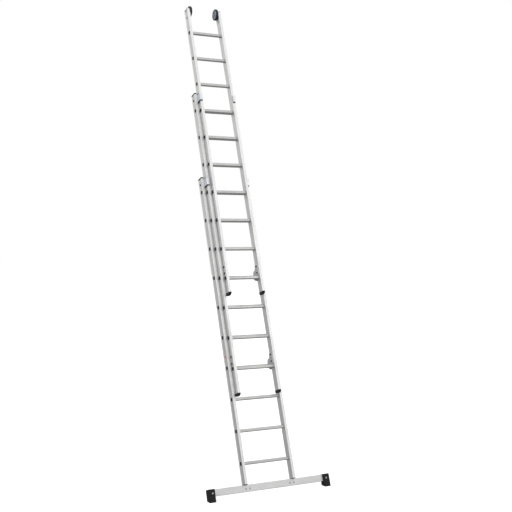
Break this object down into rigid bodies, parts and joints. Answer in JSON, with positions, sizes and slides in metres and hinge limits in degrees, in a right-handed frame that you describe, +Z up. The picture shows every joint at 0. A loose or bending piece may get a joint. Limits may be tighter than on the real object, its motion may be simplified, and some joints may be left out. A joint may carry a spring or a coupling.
{
  "type": "extension ladder",
  "caption": "Leaning push-up extension ladder with nested sliding sections, catch hooks, guide brackets, wall wheels and a wide stabiliser bar on rubber feet.",
  "frame": {"origin": "on the floor, midway between the two rubber feet, under the base stiles' middle plane", "axes": "+X to the climber's right, +Y away from the climber towards the wall, +Z straight up; the stiles lean back 18.64 degrees from +Z towards +Y"},
  "size_m": [1.184, 1.4966, 4.5313],
  "materials": {
    "stile_aluminium": "mill finish, drawn",
    "rung_aluminium": "ribbed, mill finish",
    "bar_aluminium": "satin",
    "guide_plate": "zinc plated",
    "hook_metal": "zinc plated",
    "fastener_steel": "zinc plated",
    "dark_bolt": "black",
    "black_plastic": "moulded",
    "grey_plastic": "moulded",
    "hub_plastic": "moulded",
    "foot_rubber": "matt",
    "tyre_rubber": "matt",
    "sticker": "printed label"
  },
  "bodies": {
    "base": {"base_stile_left": "stile_aluminium", "base_stile_right": "stile_aluminium", "base_rungs": "rung_aluminium", "base_rung_plugs": "black_plastic", "base_end_caps": "black_plastic", "base_guide_left": "guide_plate", "base_guide_liner_left": "black_plastic", "base_guide_right": "guide_plate", "base_guide_liner_right": "black_plastic", "base_guide_bolts": "dark_bolt", "stabiliser_bar": "bar_aluminium", "bar_insert_left": "bar_aluminium", "rubber_foot_left": "foot_rubber", "bar_insert_right": "bar_aluminium", "rubber_foot_right": "foot_rubber", "bar_bolts": "fastener_steel", "base_end_plates": "black_plastic", "foot_screws": "fastener_steel", "inspection_sticker": "sticker"},
    "middle": {"middle_stile_left": "stile_aluminium", "middle_stile_right": "stile_aluminium", "middle_rungs": "rung_aluminium", "middle_rung_plugs": "black_plastic", "middle_end_caps": "black_plastic", "middle_guide_left": "guide_plate", "middle_guide_liner_left": "black_plastic", "middle_guide_right": "guide_plate", "middle_guide_liner_right": "black_plastic", "middle_guide_bolts": "dark_bolt", "middle_foot_caps": "black_plastic", "middle_hook_left": "hook_metal", "middle_hook_right": "hook_metal", "middle_hook_bolts": "dark_bolt", "middle_latch_pins": "fastener_steel", "middle_latch_springs": "fastener_steel"},
    "top": {"top_stile_left": "stile_aluminium", "top_stile_right": "stile_aluminium", "top_rungs": "rung_aluminium", "top_rung_plugs": "black_plastic", "top_end_caps": "grey_plastic", "top_foot_caps": "black_plastic", "top_hook_left": "hook_metal", "top_hook_right": "hook_metal", "top_hook_bolts": "dark_bolt", "top_latch_pins": "fastener_steel", "top_latch_springs": "fastener_steel", "wheel_plate_left": "stile_aluminium", "wheel_plate_right": "stile_aluminium", "wheel_axles": "fastener_steel", "wheel_plate_bolts": "fastener_steel"},
    "wheel_left": {"tyre_left": "tyre_rubber", "wheel_hub_left": "hub_plastic"},
    "wheel_right": {"tyre_right": "tyre_rubber", "wheel_hub_right": "hub_plastic"},
    "middle_latch_left": {"middle_latch_left": "hook_metal"},
    "middle_latch_right": {"middle_latch_right": "hook_metal"},
    "top_latch_left": {"top_latch_left": "hook_metal"},
    "top_latch_right": {"top_latch_right": "hook_metal"}
  },
  "joints": [
    {"name": "middle_slide", "type": "slide", "parent": "base", "child": "middle", "axis": [0, 0.3196, 0.9475], "range_m": [-0.84, 0.84]},
    {"name": "top_slide", "type": "slide", "parent": "middle", "child": "top", "axis": [0, 0.3196, 0.9475], "range_m": [-0.84, 0.84]},
    {"name": "wheel_left_spin", "type": "hinge", "parent": "top", "child": "wheel_left", "pos_m": [-0.141, 1.40932, 4.4753], "axis": [1, 0, 0], "continuous": true},
    {"name": "wheel_right_spin", "type": "hinge", "parent": "top", "child": "wheel_right", "pos_m": [0.141, 1.40932, 4.4753], "axis": [1, 0, 0], "continuous": true},
    {"name": "middle_latch_left_swing", "type": "hinge", "parent": "middle", "child": "middle_latch_left", "pos_m": [-0.178, 0.32453, 1.03876], "axis": [-1, 0, 0], "range_deg": [0, 70], "stiffness_Nm_per_rad": 0.08, "springref_deg": -34.38},
    {"name": "middle_latch_right_swing", "type": "hinge", "parent": "middle", "child": "middle_latch_right", "pos_m": [0.178, 0.32453, 1.03876], "axis": [-1, 0, 0], "range_deg": [0, 70], "stiffness_Nm_per_rad": 0.08, "springref_deg": -34.38},
    {"name": "top_latch_left_swing", "type": "hinge", "parent": "top", "child": "top_latch_left", "pos_m": [-0.1455, 0.53831, 1.83521], "axis": [-1, 0, 0], "range_deg": [0, 70], "stiffness_Nm_per_rad": 0.08, "springref_deg": -34.38},
    {"name": "top_latch_right_swing", "type": "hinge", "parent": "top", "child": "top_latch_right", "pos_m": [0.1455, 0.53831, 1.83521], "axis": [-1, 0, 0], "range_deg": [0, 70], "stiffness_Nm_per_rad": 0.08, "springref_deg": -34.38}
  ]
}
